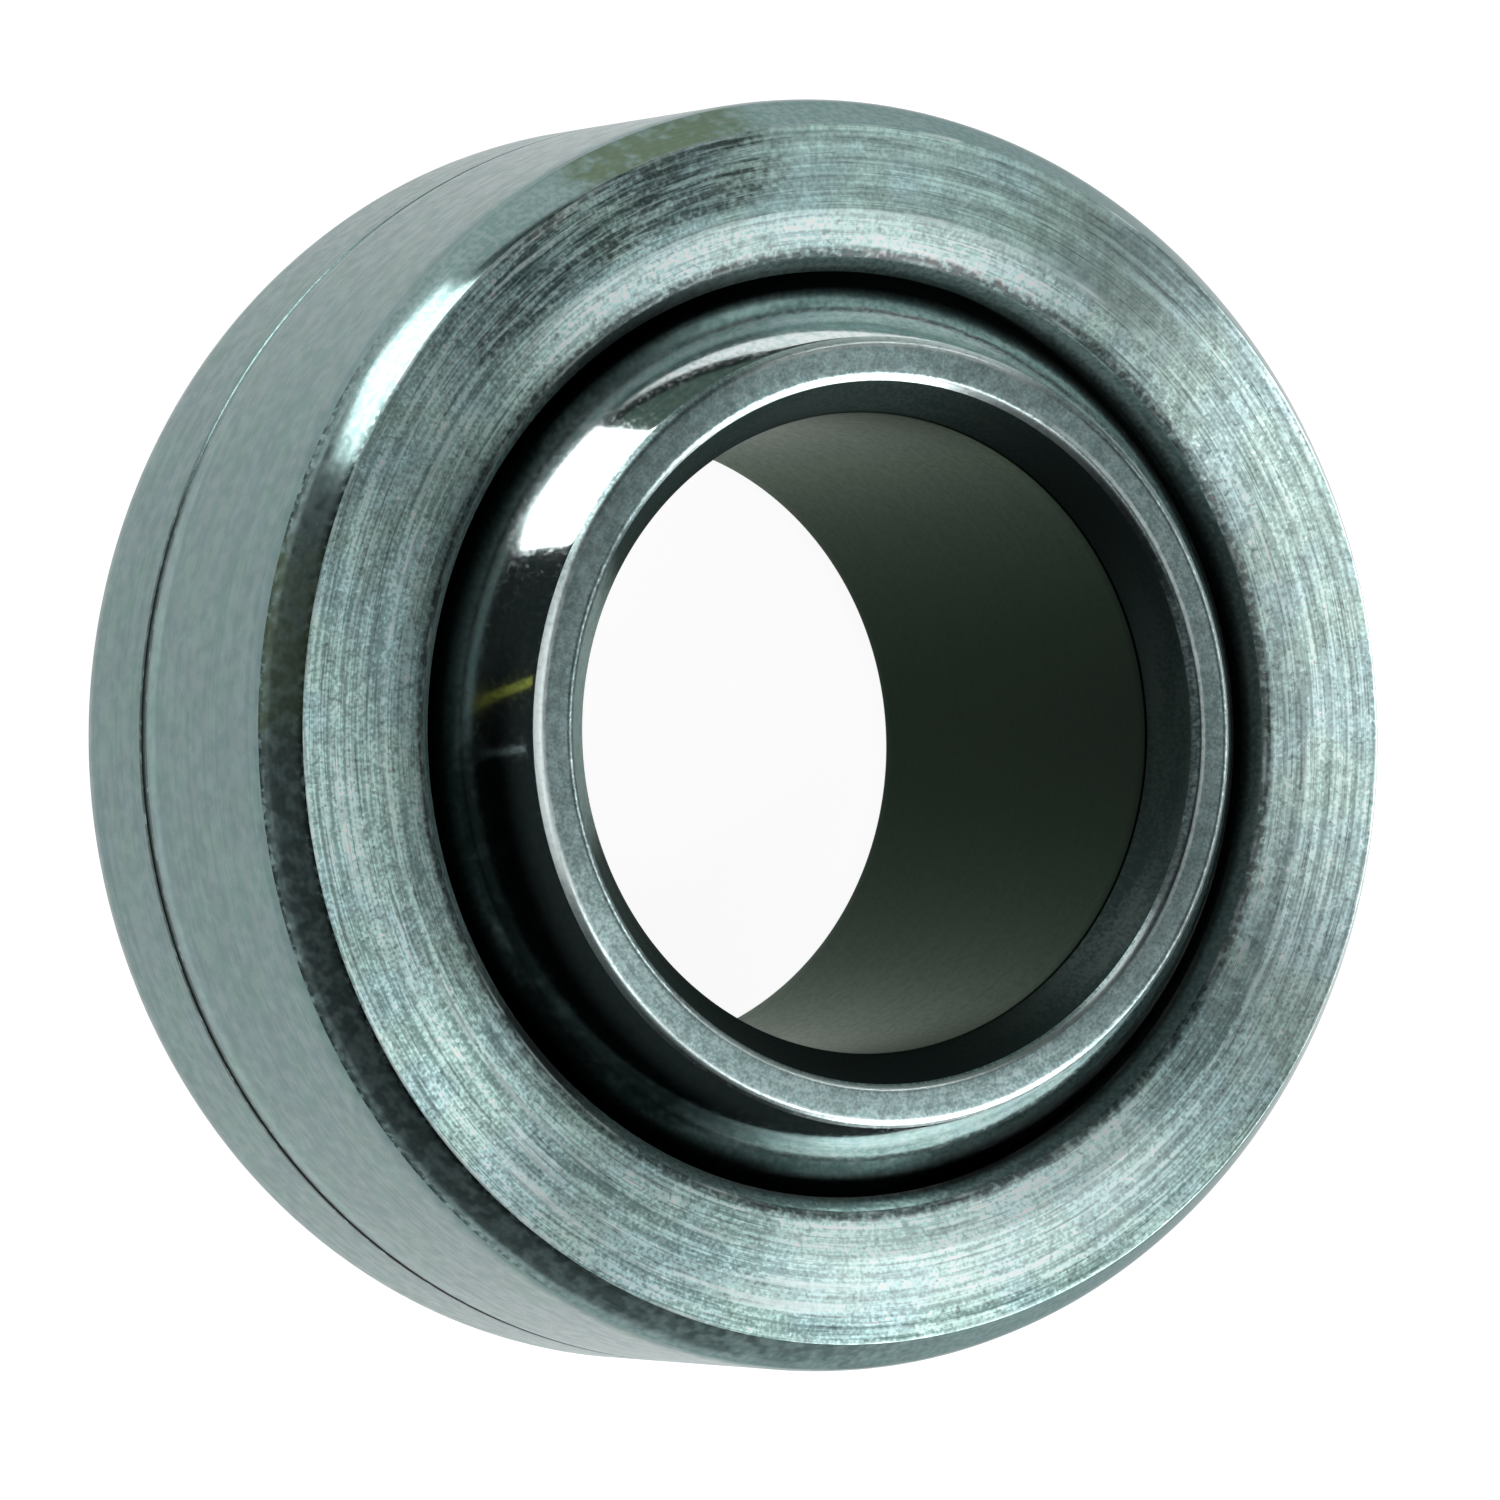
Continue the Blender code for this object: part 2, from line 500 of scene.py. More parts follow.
def steel(name, roughness, anisotropy):
    """Start a metal material, and return it with its tree and its shader."""
    material = bpy.data.materials.new(name)
    material.use_nodes = True
    tree = material.node_tree
    shader = tree.nodes["Principled BSDF"]
    shader.inputs["Metallic"].default_value = 1.0
    shader.inputs["Roughness"].default_value = roughness
    if anisotropy:
        shader.inputs["Anisotropic"].default_value = anisotropy
        shader.inputs["Anisotropic Rotation"].default_value = 0.25
        tangent = add(tree, "ShaderNodeTangent", direction_type="RADIAL", axis="Z")
        tree.links.new(tangent.outputs[0], shader.inputs["Tangent"])
    return material, tree, shader


def marked_steel(name, base, roughness, marks, speckle, contrast, bump, anisotropy=0.0, tint=None):
    """Steel with turning marks and grain in its colour, roughness and height.

    marks is (pitch, run, share of the look), speckle is (size, share of the look), bump is a height.
    tint is the colour of its reflections at grazing angles, white where it is left out.
    It returns the material, its tree, its shader and the colour to build on.
    """
    material, tree, shader = steel(name, roughness, anisotropy)
    if tint:
        shader.inputs["Specular Tint"].default_value = (*tint, 1.0)
    total = marks[2] + speckle[1]
    lines = maths(tree, "MULTIPLY", tool_marks(tree, marks[0], marks[1], 1.0), marks[2] / total)
    specks = maths(tree, "MULTIPLY", grain(tree, speckle[0], 2.0), speckle[1] / total)
    blend = maths(tree, "ADD", lines, specks)
    level = ranged(tree, blend, 0.40, 0.60)
    swings = (contrast + EXTRA_RED_SWING, contrast, contrast)
    dark = [value * (1.0 - swing) for value, swing in zip(base, swings)]
    light = [min(1.0, value * (1.0 + swing)) for value, swing in zip(base, swings)]
    tone = mixed(tree, level, dark, light)
    rougher, smoother = roughness * (1.0 + ROUGHNESS_SWING), roughness * (1.0 - ROUGHNESS_SWING)
    rough = ranged(tree, blend, 0.3, 0.7, rougher, smoother)
    tree.links.new(rough, shader.inputs["Roughness"])
    height = add(tree, "ShaderNodeBump", {"Height": blend, "Distance": bump})
    tree.links.new(height.outputs[0], shader.inputs["Normal"])
    return material, tree, shader, tone


def finished(material, tone):
    """Give a material its worked-out colour, and return it."""
    tree = material.node_tree
    tree.links.new(tone, tree.nodes["Principled BSDF"].inputs["Base Color"])
    return material


def grain(tree, size, seed):
    """Value of the speckle at a place."""
    return use(tree, "Grain", {"Size": size, "Seed": seed}).outputs[0]


def patch(tree, speckle, azimuth, half_angle, radii=(0.0, 1.0), ragged=0.5, soft=0.1 * MM):
    """Mask of a patch round an azimuth in degrees, between two radii; 180 goes all the way round.

    Its edge is as ragged as the speckle that it is given.
    """
    a = math.radians(azimuth)
    all_round = half_angle >= 180.0
    inputs = {
        "X": math.cos(a),
        "Y": math.sin(a),
        "Far": -3.0 if all_round else math.cos(math.radians(half_angle * 1.3)),
        "Near": -2.0 if all_round else math.cos(math.radians(half_angle * 0.6)),
        "Low": radii[0],
        "High": radii[1],
        "Soft": soft,
        "Ragged": ragged,
        "Grain": speckle,
    }
    return use(tree, "Patch", inputs).outputs[0]


def coated(tree, tone, mask, strength, cover):
    """Lay a colour over another where a mask says so."""
    return mixed(tree, maths(tree, "MULTIPLY", mask, strength), tone, cover)


def lightened(tree, tone, mask, amount):
    """Scale a colour by one plus an amount where a mask says so, and never past white."""
    brighter = vectors(tree, "SCALE", tone, Scale=maths(tree, "MULTIPLY_ADD", mask, amount, 1.0))
    return vectors(tree, "MINIMUM", brighter, (1, 1, 1))


def mottled(tree, tone, speckle, amount):
    """Scale a colour up and down with a speckle."""
    return lightened(tree, tone, ranged(tree, speckle, 0.35, 0.65, -1.0, 1.0), amount)


def hued(tree, tone, speckle, cool, warm):
    """Shift a colour between two tints with a speckle."""
    tint = mixed(tree, ranged(tree, speckle, 0.40, 0.60), cool, warm)
    return mixed(tree, 1.0, tone, tint, "MULTIPLY")


def streaks(tree, pitch, run, seed, least):
    """Mask of separate dashes that run round the axis, of which fewer are left the higher least is."""
    return ranged(tree, tool_marks(tree, pitch, run, seed), least, least + 0.07)


def worn(tree, shader, wear_and_glint, rough_edge):
    """Roughen the shader along worn edges, on top of the roughness that it has."""
    before = shader.inputs["Roughness"].links[0].from_socket
    made = add(tree, "ShaderNodeMix", {0: wear_and_glint, 2: before, 3: rough_edge}, data_type="FLOAT")
    tree.links.new(made.outputs[0], shader.inputs["Roughness"])


def near_edges(tree, width, speckle):
    """Ragged mask of what lies within a width of an edge of the turned profile."""
    return shared(tree, edge_band(tree, width), ranged(tree, speckle, 0.35, 0.55))


def studio_material(name):
    """Start a material of the studio, and return it with its tree, which has no surface yet."""
    material = bpy.data.materials.new(name)
    material.use_nodes = True
    tree = material.node_tree
    tree.nodes.remove(tree.nodes["Principled BSDF"])
    return material, tree


def card_material(name, shade):
    """A plain card that gives back a set share of light in each colour, from black to white."""
    material, tree = studio_material(name)
    glow = add(tree, "ShaderNodeEmission", {"Color": (*shade, 1.0), "Strength": 1.0})
    feed(tree, tree.nodes["Material Output"], {"Surface": glow.outputs[0]})
    return material


def direction_of(azimuth, elevation):
    """Unit vector at an azimuth from +X towards +Y and an elevation above the floor, in degrees."""
    a, e = math.radians(azimuth), math.radians(elevation)
    return Vector((math.cos(a) * math.cos(e), math.sin(a) * math.cos(e), math.sin(e)))


def place_card(name, shade, verts, faces):
    """Place a card with the given corners in the studio, out of the camera's sight."""
    mesh = bpy.data.meshes.new(name)
    mesh.from_pydata(verts, [], faces)
    mesh.materials.append(card_material(name, shade))
    card = placed(name, mesh)
    card.visible_camera = False


def bar_card(name, shade, distance, start, end, thickness):
    """A thin card from one azimuth and elevation to another."""
    a = direction_of(*start)
    b = direction_of(*end)
    side = a.cross(b).normalized() * math.tan(math.radians(thickness / 2))
    verts = [way * distance for way in (a - side, b - side, b + side, a + side)]
    place_card(name, shade, verts, [(0, 1, 2, 3)])


def curved_card(name, shade, distance, azimuths, elevations, steps):
    """A card bent round the bearing between two azimuths and two elevations."""
    across, upwards = steps
    verts = []
    for i in range(across + 1):
        azimuth = azimuths[0] + (azimuths[1] - azimuths[0]) * i / across
        for j in range(upwards + 1):
            elevation = elevations[0] + (elevations[1] - elevations[0]) * j / upwards
            verts.append(direction_of(azimuth, elevation) * distance)
    faces = []
    for i in range(across):
        for j in range(upwards):
            here = i * (upwards + 1) + j
            after = here + upwards + 1
            faces.append((here, after, after + 1, here + 1))
    place_card(name, shade, verts, faces)


def softbox(name, tilt, turn, distance, half_angles, radiance):
    """A rectangular area lamp that faces the bearing; its radiance is what a mirror shows of it.

    It lies tilt degrees from the direction that the flat faces mirror to the camera, and turn degrees
    round that direction, from +X towards +Y. half_angles are half of what it spans away from that
    direction and round it.
    """
    mirrored_way = Vector((-CAMERA_BACK.x, -CAMERA_BACK.y, CAMERA_BACK.z))
    start = (Vector((1, 0, 0)) - mirrored_way * mirrored_way.x).normalized()
    side = mirrored_way.cross(start)
    t, p = math.radians(tilt), math.radians(turn)
    outward = start * math.cos(p) + side * math.sin(p)
    way = mirrored_way * math.cos(t) + outward * math.sin(t)
    away = outward * math.cos(t) - mirrored_way * math.sin(t)
    size = [2 * distance * math.tan(math.radians(half)) for half in half_angles]
    data = bpy.data.lights.new(name, "AREA")
    data.shape = "RECTANGLE"
    data.size = size[0]
    data.size_y = size[1]
    data.energy = radiance * math.pi * size[0] * size[1]
    lamp = placed(name, data)
    turned = Matrix((away, way.cross(away), way)).transposed()
    lamp.matrix_world = Matrix.Translation(way * distance) @ turned.to_4x4()
    lamp.visible_camera = False


class BEARING_OT_outer_race(bpy.types.Operator):
    """Make the turned outer race in place of the plain one"""

    bl_idname = "bearing.outer_race"
    bl_label = "Outer race"

    def execute(self, context):
        size = context.scene.bearing_race
        finish = context.scene.bearing_finish
        make_groups()
        face = size.half_width
        corner = face - size.chamfer_axial
        lip = face - size.dish_depth - size.lip_axial
        seat_end = lip - size.mouth_depth
        reach = size.line_width / 2
        line = [
            (size.outside, size.line_place - reach),
            (size.outside - size.line_depth, size.line_place),
            (size.outside, size.line_place + reach),
        ]
        front = [
            (size.outside, corner),
            (size.outside - size.chamfer_radial, face - size.face_fall),
            (size.dish_outer, face),
            (size.hole, face - size.dish_depth),
            (size.hole - size.lip_radial, lip),
        ]
        rounds = [size.corner_round, size.edge_round, size.edge_round, size.hole_round, 0.0]
        turn = math.asin(seat_end / size.seat)
        seat = arc(size.seat, turn, -turn, SEAT_STEPS)
        line_round = 0.01 * MM
        upper = rounded([*line[1:], *front], [0.0, line_round, *rounds])
        lower = rounded([*mirrored(front), *line[:2]], [*reversed(rounds), line_round, 0.0])
        outline = divided(upper + seat + lower, LONGEST_STRETCH)[:-1]
        edges = [*front, *mirrored(front)]
        # The materials meet a little way round the rounded corners
        rim = size.outside - size.chamfer_radial
        skin = size.outside - 0.004 * MM
        shoulder = size.outside - 0.3 * size.chamfer_radial
        bend = corner + 0.03 * MM
        crest = rim + 0.02 * MM
        inside = size.hole - 0.03 * MM
        slope = face - size.face_fall
        zones = [
            (self.line(finish), lambda r, z: rim < r < skin and z < corner - MM),
            (self.ground(finish, size), lambda r, z: r > shoulder and z < bend),
            (self.chamfer(finish, corner), lambda r, z: r > crest and z < slope),
            (self.turned(finish, size), lambda r, z: r > inside and z > lip),
            (self.seat(finish), lambda r, z: True),
        ]
        segments = context.scene.bearing_studio.segments
        piece = turned_piece(RACE_NAME, outline, edges, zones, segments)
        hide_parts("outer_race")
        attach(piece, "race")
        return {"FINISHED"}

    def ground(self, finish, size):
        """Steel of the outside, ground all over, with painted shade beside its fine line and a painted
        highlight band near it, on one side.
        """
        material, tree, _, tone = marked_steel(
            "ground_steel", finish.ground, finish.ground_roughness, marks=(0.12 * MM, 1.5, 1.0),
            speckle=(0.30 * MM, 1.0), contrast=0.05, bump=0.0005 * MM, anisotropy=0.6,
        )
        broad = grain(tree, 1.2 * MM, 21.0)
        tone = mottled(tree, tone, grain(tree, 0.5 * MM, 20.0), 0.05)
        tone = hued(tree, tone, broad, (1.0, 0.97, 1.0), (0.96, 1.0, 0.95))
        level = use(tree, "Turned place").outputs["Level"]
        side = patch(tree, broad, *PAINTED_LIGHT_SIDE, ragged=0.3)
        # Painted shade in a band beside the fine line, on one side
        line_shade_band = beside(tree, level, size.line_place, 0.14 * MM, 0.21 * MM)
        line_shade_band = shared(tree, line_shade_band, ranged(tree, grain(tree, 0.25 * MM, 23.0), 0.25, 0.50))
        tone = coated(tree, tone, shared(tree, line_shade_band, side), 0.95, finish.line_shade)
        # Painted highlight band near the fine line, on the same side
        pale = beside(tree, level, size.line_place + 0.42 * MM, 0.05 * MM, 0.28 * MM)
        tone = lightened(tree, tone, shared(tree, pale, side), 0.28)
        return finished(material, tone)

    def line(self, finish):
        """Steel of the fine line, turned smooth, with painted shade in it on one side."""
        material, tree, _, tone = marked_steel(
            "line_steel", finish.ground, finish.ground_roughness, marks=(0.05 * MM, 3.0, 0.5),
            speckle=(0.15 * MM, 0.8), contrast=0.15, bump=0.0004 * MM,
        )
        # Painted shade in the line on one side
        side = patch(tree, grain(tree, 0.3 * MM, 22.0), *PAINTED_LIGHT_SIDE, ragged=0.3)
        tone = coated(tree, tone, side, 0.9, finish.line_shade)
        return finished(material, tone)

    def chamfer(self, finish, corner):
        """Steel of the chamfers, turned smooth, with dried oil over part of them that makes them rougher
        and is darkened there as painted shade, painted shade along their edges at the left, painted olive
        reflections in two spots, and worn edges with a painted highlight.
        """
        material, tree, shader, tone = marked_steel(
            "chamfer_steel", finish.chamfer, finish.chamfer_roughness, marks=(0.08 * MM, 3.0, 0.5),
            speckle=(0.13 * MM, 0.8), contrast=0.10, bump=0.0004 * MM, tint=(0.55, 0.6, 0.6),
        )
        blots = grain(tree, 0.30 * MM, 24.0)
        small = grain(tree, 0.14 * MM, 25.0)
        height = use(tree, "Turned place").outputs["Height"]
        outer_part = ranged(tree, height, corner - 0.05 * MM, corner + 0.50 * MM, 1.0, 0.0)
        # Dried oil at the lower left makes the chamfer rougher, and painted shade darkens it there, more
        # in blots; both are left off near the outer corner in one place
        wiped_and_lit = patch(tree, blots, 246.0, 20.0, ragged=0.6)
        dried_oil_and_shade = patch(tree, blots, 216.0, 56.0, ragged=0.5)
        dried_oil_and_shade = maths(tree, "SUBTRACT", dried_oil_and_shade, shared(tree, outer_part, wiped_and_lit), clamp=True)
        rough = ranged(tree, dried_oil_and_shade, 0.0, 1.0, finish.chamfer_roughness, finish.oily_roughness)
        tree.links.new(rough, shader.inputs["Roughness"])
        tone = lightened(tree, tone, dried_oil_and_shade, -0.20)
        thick_oil_and_shade = shared(tree, dried_oil_and_shade, ranged(tree, blots, 0.38, 0.62))
        tone = lightened(tree, tone, thick_oil_and_shade, -0.45)
        # Painted shade along the chamfer's edges at the left
        outline = patch(tree, small, 192.0, 46.0, ragged=0.4)
        outline = shared(tree, near_edges(tree, 0.26 * MM, small), outline)
        tone = lightened(tree, tone, outline, -0.9)
        # Painted olive reflections in two narrow spots, at the left and at the top
        left_olive_reflection = patch(tree, blots, 172.0, 8.0, ragged=1.6)
        tone = coated(tree, tone, left_olive_reflection, 0.40, finish.olive_reflection)
        top_olive_reflection = patch(tree, blots, 110.0, 9.0, ragged=1.4)
        tone = coated(tree, tone, top_olive_reflection, 0.75, finish.olive_reflection)
        # Edges worn shiny where the dried oil leaves them bare, with a painted highlight
        bare_wear_and_glint = maths(tree, "SUBTRACT", self.wear_and_glint(tree), dried_oil_and_shade, clamp=True)
        tone = coated(tree, tone, bare_wear_and_glint, 0.6, finish.bright)
        return finished(material, tone)

    def wear_and_glint(self, tree):
        """Mask of the edges between the chamfers and the faces, worn shiny and given a painted highlight.
        """
        return use(tree, "Edge wear", {"Width": 0.07 * MM, "Breaks": 0.45, "Seed": 13.0}).outputs[0]

    def turned(self, finish, size):
        """Steel of the faces: circular marks, speckled grain, a stain, painted highlights and shade on
        some sides, painted shade round the hole's edge, and worn edges with a painted highlight.
        """
        material, tree, shader, tone = marked_steel(
            "turned_steel", finish.turned, finish.turned_roughness, marks=(0.06 * MM, 3.0, 1.0),
            speckle=(0.085 * MM, 0.75), contrast=0.31, bump=0.0030 * MM, anisotropy=0.95,
        )
        small = grain(tree, 0.15 * MM, 31.0)
        blots = grain(tree, 0.30 * MM, 27.0)
        broad = tool_marks(tree, 0.22 * MM, 2.0, 8.0)
        # Smoother grain on the outer part of the faces at the top, with painted shade there
        calm_and_shaded = patch(tree, blots, 80.0, 30.0, (10.5 * MM, 13.0 * MM), 0.5, 0.3 * MM)
        tone = coated(tree, tone, calm_and_shaded, 0.6, [value * 0.64 for value in finish.turned])
        # Whiter tint painted on the right side of the faces, where their highlight falls
        glint_patch = patch(tree, blots, 12.0, 48.0, ragged=0.2)
        tone = coated(tree, tone, glint_patch, 0.25, finish.white)
        tone = lightened(tree, tone, ranged(tree, broad, 0.35, 0.65, -1.0, 1.0), 0.19)
        tone = mottled(tree, tone, blots, 0.13)
        tone = hued(tree, tone, grain(tree, 1.6 * MM, 28.0), (0.95, 0.98, 1.0), (0.98, 1.0, 0.95))
        tone = lightened(tree, tone, streaks(tree, 0.05 * MM, 7.0, 14.0, 0.58), -0.35)
        lively = maths(tree, "SUBTRACT", 1.0, calm_and_shaded)
        dark_specks = shared(tree, ranged(tree, small, 0.30, 0.35, 1.0, 0.0), lively)
        tone = lightened(tree, tone, dark_specks, -0.35)
        pale_specks = shared(tree, ranged(tree, small, 0.66, 0.71), lively)
        tone = lightened(tree, tone, pale_specks, 0.45)
        # Painted highlight on the dish at the top
        top = patch(tree, small, 98.0, 34.0, (size.hole, size.dish_outer), 0.5, 0.04 * MM)
        tone = coated(tree, lightened(tree, tone, top, 0.35), top, 0.35, finish.bright)
        # Painted highlight on a band at the bottom
        band = (size.hole + 0.3 * MM, size.dish_outer + 0.9 * MM)
        foot = patch(tree, small, 286.0, 25.0, band, 0.5, 0.5 * MM)
        tone = coated(tree, lightened(tree, tone, foot, 0.22), foot, 0.30, finish.bright)
        # Painted highlight streaks at the lower left
        shine = patch(tree, blots, 248.0, 20.0, (10.9 * MM, 11.4 * MM), 0.5, 0.25 * MM)
        shine = shared(tree, shine, ranged(tree, broad, 0.50, 0.57))
        tone = coated(tree, tone, shine, 0.8, finish.bright)
        tone = self.stained(tree, tone, small, finish)
        # Painted shade round the edge of the hole, next to the gap
        gap_shade = patch(tree, small, 0.0, 180.0, (0.0, size.hole + 0.04 * MM), 1.6, 0.20 * MM)
        tone = lightened(tree, tone, gap_shade, -0.75)
        # Edges worn shiny and rougher, with a painted highlight on them
        wear_and_glint = self.wear_and_glint(tree)
        tone = coated(tree, tone, wear_and_glint, 0.8, finish.bright)
        worn(tree, shader, wear_and_glint, 0.6)
        return finished(material, tone)

    def stained(self, tree, tone, speckle, finish):
        """Lay a dark stain over the upper left of the faces, with dashes and pale flecks in it."""
        stain = patch(tree, speckle, 120.0, 19.0, (10.9 * MM, 12.0 * MM), 1.6, 0.35 * MM)
        tone = lightened(tree, tone, stain, -0.38)
        marks = tool_marks(tree, 0.09 * MM, 9.0, 39.0)
        dashes = shared(tree, stain, ranged(tree, marks, 0.48, 0.55))
        tone = lightened(tree, tone, dashes, -0.6)
        flecks = shared(tree, stain, ranged(tree, marks, 0.33, 0.40, 1.0, 0.0))
        return coated(tree, tone, flecks, 0.6, finish.turned)

    def seat(self, finish):
        """Steel of the lip and the seat, dark, with painted light on three sides of the lip and a painted
        highlight on the lip's edge at the lower right.
        """
        material, tree, _, tone = marked_steel(
            "seat_steel", finish.seat, finish.seat_roughness, marks=(0.09 * MM, 2.0, 1.0),
            speckle=(0.10 * MM, 0.6), contrast=0.30, bump=0.0020 * MM,
        )
        small = grain(tree, 0.2 * MM, 45.0)
        # Painted light on three sides of the lip
        lit_lip_sides = ((72.0, 38.0, 1.9), (256.0, 24.0, 2.8), (174.0, 36.0, 4.0))
        for azimuth, half_angle, amount in lit_lip_sides:
            wiped_and_lit = patch(tree, small, azimuth, half_angle, ragged=0.8)
            tone = lightened(tree, tone, wiped_and_lit, amount)
        wear_and_glint = use(tree, "Edge wear", {"Width": 0.08 * MM, "Breaks": 0.20, "Seed": 15.0}).outputs[0]
        # Painted highlight on the lip's edge at the lower right
        lip_glint = shared(tree, wear_and_glint, patch(tree, small, 292.0, 46.0, ragged=0.4))
        tone = coated(tree, tone, lip_glint, 0.7, finish.lip_highlight)
        return finished(material, tone)


class BEARING_OT_ball(bpy.types.Operator):
    """Make the polished ball in place of the plain one"""

    bl_idname = "bearing.ball"
    bl_label = "Ball"

    def execute(self, context):
        size = context.scene.bearing_ball
        finish = context.scene.bearing_finish
        make_groups()
        face = size.half_width
        mouth = size.bore + size.mouth_radial
        sphere_end = face - size.edge_break
        edge = math.sqrt(size.radius**2 - sphere_end**2)
        front = [
            (edge, sphere_end),
            (edge - size.edge_break, face),
            (mouth + size.edge_break, face),
            (mouth, sphere_end),
            (size.bore, sphere_end - size.mouth_axial),
        ]
        turn = math.asin(sphere_end / size.radius)
        sphere = arc(size.radius, -turn, turn, SPHERE_STEPS)
        back = mirrored(front)
        bore_middle = (size.bore, 0.0)
        corners = [sphere[-2], *front, bore_middle]
        inside = rounded(corners, [size.edge_round] * len(corners))[1:]
        outline = divided([*sphere[1:-1], *inside, *mirrored(inside)[1:]], LONGEST_STRETCH)
        bore_skin = size.bore + 0.02 * MM
        zones = [
            (self.bore(finish), lambda r, z: r < bore_skin),
            (self.mouth(finish), lambda r, z: r < mouth and z < sphere_end),
            (self.lapped(finish, mouth, edge), lambda r, z: z > sphere_end),
            (self.polished(finish), lambda r, z: True),
        ]
        segments = context.scene.bearing_studio.segments
        piece = turned_piece(BALL_NAME, outline, front + back, zones, segments)
        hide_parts("ball")
        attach(piece, "ball")
        return {"FINISHED"}

    def polished(self, finish):
        """Steel of the sphere, polished, made rougher near the race by old grease, with painted shade near
        the race, darkest at the lower left and left off where its highlights show.
        """
        material, tree, shader, tone = marked_steel(
            "polished_steel", finish.polished, finish.polished_roughness, marks=(0.08 * MM, 3.0, 0.5),
            speckle=(0.15 * MM, 0.8), contrast=0.06, bump=0.0001 * MM,
        )
        blots = grain(tree, 0.4 * MM, 32.0)
        height = use(tree, "Turned place").outputs["Height"]
        ring = ranged(tree, height, 4.6 * MM, 5.9 * MM, 1.0, 0.0)
        # Painted shade near the race, full next to the gap, darkest at the lower left, and left off at the
        # lower right and the top, where highlights show
        foot = maths(tree, "MULTIPLY", patch(tree, blots, 305.0, 40.0, ragged=0.3), 0.85)
        top = maths(tree, "MULTIPLY", patch(tree, blots, 90.0, 42.0, ragged=0.3), 0.40)
        shaded_sides = maths(tree, "SUBTRACT", 1.0, maths(tree, "MAXIMUM", foot, top))
        shaded_near_race = shared(tree, ring, shaded_sides)
        deep_shade = ranged(tree, height, 4.50 * MM, 4.85 * MM, 1.0, 0.0)
        shaded_near_race = maths(tree, "MAXIMUM", shaded_near_race, deep_shade)
        lower_left_shade = ranged(tree, height, 5.55 * MM, 6.15 * MM, 1.0, 0.0)
        lower_left_shade = shared(tree, lower_left_shade, patch(tree, blots, 212.0, 40.0, ragged=0.1))
        shaded_near_race = maths(tree, "MAXIMUM", shaded_near_race, lower_left_shade)
        tone = coated(tree, tone, shaded_near_race, 0.99, finish.gap_shade)
        rough = ranged(tree, ring, 0.0, 1.0, finish.polished_roughness, finish.greasy_roughness)
        haze = ranged(tree, grain(tree, 0.12 * MM, 34.0), 0.45, 0.75)
        rough = maths(tree, "MULTIPLY_ADD", haze, 0.06, rough)
        tree.links.new(rough, shader.inputs["Roughness"])
        return finished(material, tone)

    def lapped(self, finish, mouth, edge):
        """Steel of the end faces, lapped, with a grain, painted light and shade on three sides, and
        painted highlights and shade on parts of the rims.
        """
        material, tree, _, tone = marked_steel(
            "lapped_steel", finish.lapped, finish.lapped_roughness, marks=(0.06 * MM, 4.0, 0.5),
            speckle=(0.07 * MM, 1.0), contrast=0.30, bump=0.0024 * MM, anisotropy=0.6,
        )
        small = grain(tree, 0.14 * MM, 16.0)
        tone = mottled(tree, tone, grain(tree, 0.24 * MM, 35.0), 0.13)
        tone = mottled(tree, tone, small, 0.10)
        # Painted light at the bottom and the top, and painted shade at the right
        painted_light_sides = ((252.0, 48.0, 0.50), (100.0, 18.0, 0.35), (10.0, 38.0, -0.28))
        for azimuth, half_angle, amount in painted_light_sides:
            side = patch(tree, small, azimuth, half_angle, ragged=0.5)
            tone = lightened(tree, tone, side, amount)
        soft, crisp = 0.07 * MM, 0.04 * MM
        outer_rim = (edge - 0.16 * MM, edge)
        corner = (edge - 0.05 * MM, edge)
        inner_rim = (0.0, mouth + 0.10 * MM)
        wide_rim = (0.0, mouth + 0.16 * MM)
        foot_line = (mouth + 0.06 * MM, mouth + 0.12 * MM)
        right_line = (mouth + 0.20 * MM, mouth + 0.24 * MM)
        # Painted highlights and shade on the rims: azimuth, half angle, radii, raggedness and softness,
        # and how far it is brightened or darkened
        rim_highlights_and_shade = (
            (225.0, 70.0, outer_rim, 0.8, soft, 0.55),
            (184.0, 24.0, outer_rim, 0.8, soft, 0.8),
            (90.0, 24.0, outer_rim, 0.8, soft, 0.95),
            (8.0, 54.0, outer_rim, 0.5, soft, -0.80),
            (88.0, 46.0, inner_rim, 0.8, soft, 0.85),
            (280.0, 50.0, foot_line, 0.5, crisp, 0.9),
            (285.0, 60.0, corner, 0.4, 0.03 * MM, -0.85),
            (190.0, 44.0, wide_rim, 0.8, soft, -0.76),
            (8.0, 44.0, wide_rim, 0.5, soft, -0.78),
            (14.0, 46.0, right_line, 0.9, crisp, 0.6),
        )
        for *place, amount in rim_highlights_and_shade:
            rim_light = patch(tree, small, *place)
            if amount > 0.0:
                tone = coated(tree, tone, rim_light, amount, finish.bright)
            else:
                tone = lightened(tree, tone, rim_light, amount)
        return finished(material, tone)

    def bore(self, finish):
        """Blackened steel of the bore, with an olive painted reflection at its top and bottom."""
        material, tree, _, tone = marked_steel(
            "bore_steel", finish.bore, finish.bore_roughness, marks=(0.10 * MM, 2.0, 0.5),
            speckle=(0.12 * MM, 1.0), contrast=0.30, bump=0.0010 * MM, tint=(0.66, 0.74, 0.68),
        )
        stretch = grain(tree, 1.5 * MM, 51.0)
        # Olive painted reflection at the top and bottom of the bore
        upper = patch(tree, stretch, 84.0, 30.0, ragged=0.4)
        lower = patch(tree, stretch, 276.0, 30.0, ragged=0.4)
        top_and_bottom_reflection = maths(tree, "MAXIMUM", upper, lower)
        tone = coated(tree, tone, top_and_bottom_reflection, 1.0, finish.bore_reflection)
        return finished(material, tone)

